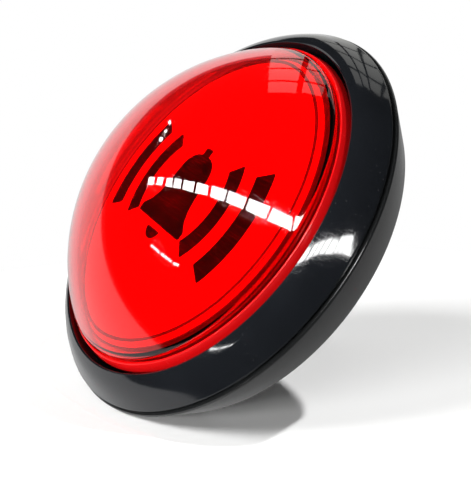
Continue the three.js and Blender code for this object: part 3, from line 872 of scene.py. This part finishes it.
def far_panes(name, quads, strength, colour=(1, 1, 1), far=1.6, sub=3):
    """Bright panes far from the object, each given by the four directions of its corners, seen from the camera's axes."""
    verts, faces = [], []
    for q in quads:
        q = [np.array(p, float) for p in q]
        base = len(verts)
        for j in range(sub + 1):
            for i in range(sub + 1):
                s, t = i / sub, j / sub
                p = (1 - t) * ((1 - s) * q[0] + s * q[1]) + t * ((1 - s) * q[3] + s * q[2])
                verts.append(tuple(to_obj(p / np.linalg.norm(p)) * far))
        for j in range(sub):
            for i in range(sub):
                a = base + j * (sub + 1) + i
                faces.append([a, a + 1, a + sub + 2, a + sub + 1])
    me = bpy.data.meshes.new(name)
    me.from_pydata(verts, [], faces)
    o = link(me, name)
    me.materials.append(glow(name, colour, strength))
    o.visible_camera = False
    o.visible_diffuse = False
    o.visible_shadow = False
    o.visible_transmission = False
    return o


def make_windows():
    top = [(149, 177), (155, 177), (158, 177.2), (164, 177.5), (167, 177.7), (173, 178.2), (175, 178.5), (182, 179.5), (184, 180), (195, 182), (197, 182.5),
           (208.5, 185), (212, 185.5), (227, 190), (229, 190.7), (247, 197.5), (249.5, 198.3), (271, 206.5), (273, 207.5), (293, 217.5)]
    bot = [(148, 184), (153.5, 184.5), (156, 184.7), (162, 185.5), (165, 186), (171.5, 187.2), (173, 187.5), (180.5, 189), (182.5, 189.5), (193, 192.3), (195, 193),
           (207.5, 195.5), (210, 197), (224, 201.5), (226, 202.3), (243, 209), (245.5, 210), (265, 219.5), (267, 220.5), (291, 231)]
    quads = [(top[i], top[i + 1], bot[i + 1], bot[i]) for i in range(0, len(top), 2)]
    windows("strip_window", quads, 34.0)
    dashes = [((151, 244), (160, 251), (159, 254), (150.5, 246.5)), ((161.5, 252.5), (172, 260), (171, 263), (160.5, 255)), ((173.5, 262), (179, 264), (178, 266.5), (172.5, 265)),
              ((159.5, 137), (163, 137.5), (162, 141.5), (159, 141)), ((164, 131), (166.5, 129), (167.5, 131), (165, 133)), ((168, 122), (170, 120), (171, 123), (169, 125))]
    windows("small_lamps", dashes, 26.0, sub=2)
    more = []
    for s0, s1 in ((0.0, 0.3), (0.33, 0.62), (0.65, 1.0)):
        a0, a1 = np.array([0.075, -0.385, -0.918]), np.array([0.27, -0.33, -0.90])
        b0, b1 = np.array([0.050, -0.268, -0.962]), np.array([0.25, -0.185, -0.95])
        more.append((a0 + (a1 - a0) * s0, a0 + (a1 - a0) * s1, b0 + (b1 - b0) * s1, b0 + (b1 - b0) * s0))
    far_panes("strip_window_end", more, 34.0)
    panes = []
    for x0, x1 in ((-0.065, 0.10), (0.135, 0.26), (0.29, 0.43), (0.46, 0.62), (0.65, 0.85)):
        for z0, z1 in ((0.06, 0.215), (0.245, 0.455), (0.485, 0.75), (0.79, 1.10), (1.15, 1.55)):
            sk = 0.10
            panes.append(((x0 + sk * z0, -1, z0), (x1 + sk * z0, -1, z0 - 0.02), (x1 + sk * z1, -1, z1 - 0.02), (x0 + sk * z1, -1, z1)))
    far_panes("pane_window", panes, 0.9, (1.0, 1.0, 0.96))


SKY_K = to_obj(np.array([0.0, 0.573, 0.8192]))


def make_world():
    w = bpy.data.worlds.new("studio")
    bpy.context.scene.world = w
    w.use_nodes = True
    nt = w.node_tree
    nt.nodes.clear()
    out, bg = nt.nodes.new("ShaderNodeOutputWorld"), nt.nodes.new("ShaderNodeBackground")
    tc = nt.nodes.new("ShaderNodeTexCoord")
    dot = nt.nodes.new("ShaderNodeVectorMath")
    dot.operation = "DOT_PRODUCT"
    dot.inputs[1].default_value = tuple(SKY_K)
    nt.links.new(tc.outputs["Generated"], dot.inputs[0])
    mr = nt.nodes.new("ShaderNodeMapRange")
    mr.interpolation_type = "SMOOTHSTEP"
    mr.inputs["From Min"].default_value, mr.inputs["From Max"].default_value = 0.15, 0.185
    mr.inputs["To Min"].default_value, mr.inputs["To Max"].default_value = 0.02, 0.98
    nt.links.new(dot.outputs["Value"], mr.inputs["Value"])
    shade_dot = nt.nodes.new("ShaderNodeVectorMath")
    shade_dot.operation = "DOT_PRODUCT"
    shade_dot.inputs[1].default_value = tuple(to_obj(np.array([0.45, 0.55, 0.70]) / np.linalg.norm([0.45, 0.55, 0.70])))
    nt.links.new(tc.outputs["Generated"], shade_dot.inputs[0])
    under = nt.nodes.new("ShaderNodeMapRange")
    under.interpolation_type = "SMOOTHSTEP"
    under.inputs["From Min"].default_value, under.inputs["From Max"].default_value = 0.35, 0.8
    under.inputs["To Min"].default_value, under.inputs["To Max"].default_value = 1.0, 0.30
    nt.links.new(shade_dot.outputs["Value"], under.inputs["Value"])
    both = nt.nodes.new("ShaderNodeMath")
    both.operation = "MULTIPLY"
    nt.links.new(mr.outputs["Result"], both.inputs[0])
    nt.links.new(under.outputs["Result"], both.inputs[1])
    lp = nt.nodes.new("ShaderNodeLightPath")
    mx = nt.nodes.new("ShaderNodeMath")
    mx.operation = "MAXIMUM"
    nt.links.new(both.outputs[0], mx.inputs[0])
    nt.links.new(lp.outputs["Is Camera Ray"], mx.inputs[1])
    bg.inputs["Color"].default_value = (1, 1, 1, 1)
    nt.links.new(mx.outputs[0], bg.inputs["Strength"])
    nt.links.new(bg.outputs[0], out.inputs["Surface"])


def area(name, cam_dir, distance, size, power, glossy=False):
    d = to_obj(np.array(cam_dir, float))
    d /= np.linalg.norm(d)
    data = bpy.data.lights.new(name, "AREA")
    data.shape, data.size, data.energy = "DISK", size, power
    o = bpy.data.objects.new(name, data)
    bpy.context.scene.collection.objects.link(o)
    target = Vector((0, 0, 0.012))
    o.location = target + Vector(d) * distance
    o.rotation_mode = "QUATERNION"
    o.rotation_quaternion = Vector(d).to_track_quat("Z", "Y")
    o.visible_glossy = o.visible_transmission = glossy
    return o


def sun(name, obj_dir, strength, angle):
    data = bpy.data.lights.new(name, "SUN")
    data.energy, data.angle = strength, math.radians(angle)
    o = bpy.data.objects.new(name, data)
    bpy.context.scene.collection.objects.link(o)
    o.rotation_mode = "QUATERNION"
    o.rotation_quaternion = Vector(obj_dir).to_track_quat("Z", "Y")
    o.visible_glossy = o.visible_transmission = False
    return o


make_floor()
make_windows()
make_world()
sun("lamp_hard", (-0.955, 0.055, 0.29), 2.4, 2.5)
area("lamp_left", (-0.75, -0.62, -0.25), 1.5, 0.9, 26.0)
area("lamp_front", (-0.754, 0.06, -0.637), 1.5, 0.8, 40.0)

bpy.context.scene.view_settings.view_transform = "Standard"
bpy.context.scene.view_settings.look = "None"
